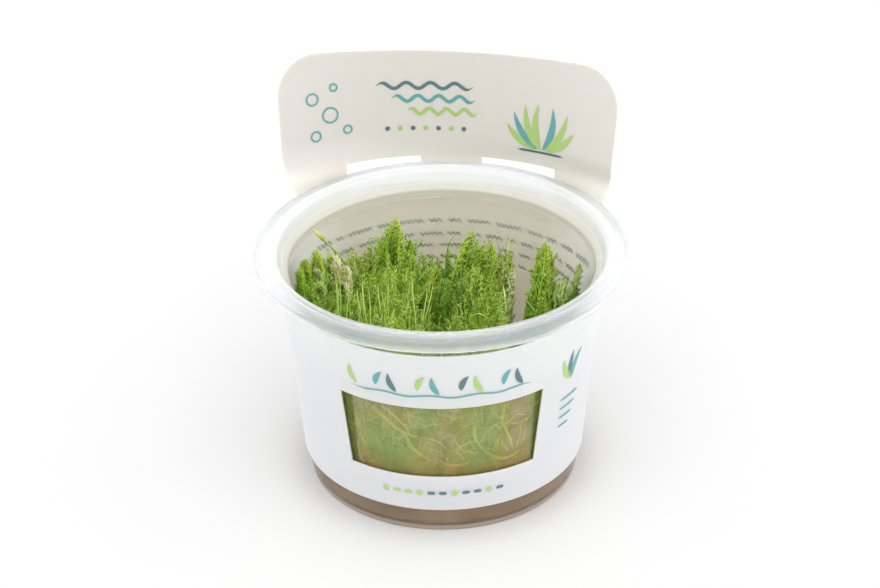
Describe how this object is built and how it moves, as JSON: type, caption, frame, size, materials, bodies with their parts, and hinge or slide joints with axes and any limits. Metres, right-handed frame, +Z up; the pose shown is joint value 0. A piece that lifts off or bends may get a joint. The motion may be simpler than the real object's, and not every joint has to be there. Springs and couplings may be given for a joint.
{
  "type": "tissue culture giant moss in a culture cup",
  "caption": "Giant moss grown in a clear round culture cup on nutrient gel, wrapped in a card sleeve with a window and an upright header.",
  "frame": {"origin": "middle of the cup's foot, on the surface that it stands on", "axes": "+Z up, +Y towards the card's header, which stands behind the cup, -Y towards the sleeve's window"},
  "size_m": [0.08, 0.0802, 0.0809],
  "materials": {
    "clear_plastic": "clear moulded plastic, smooth and glossy, faint grey-green at the rim",
    "gel": "cloudy tan set gel, moist",
    "moss": "fine leafy moss shoots, bright to dark green, slightly glossy",
    "card": "smooth white printed card, satin outside, warm off-white inside"
  },
  "bodies": {
    "root": {"cup": "clear_plastic", "nutrient_gel": "gel", "moss_clump": "moss", "moss_tuft": "moss", "card_sleeve": "card"}
  },
  "joints": []
}
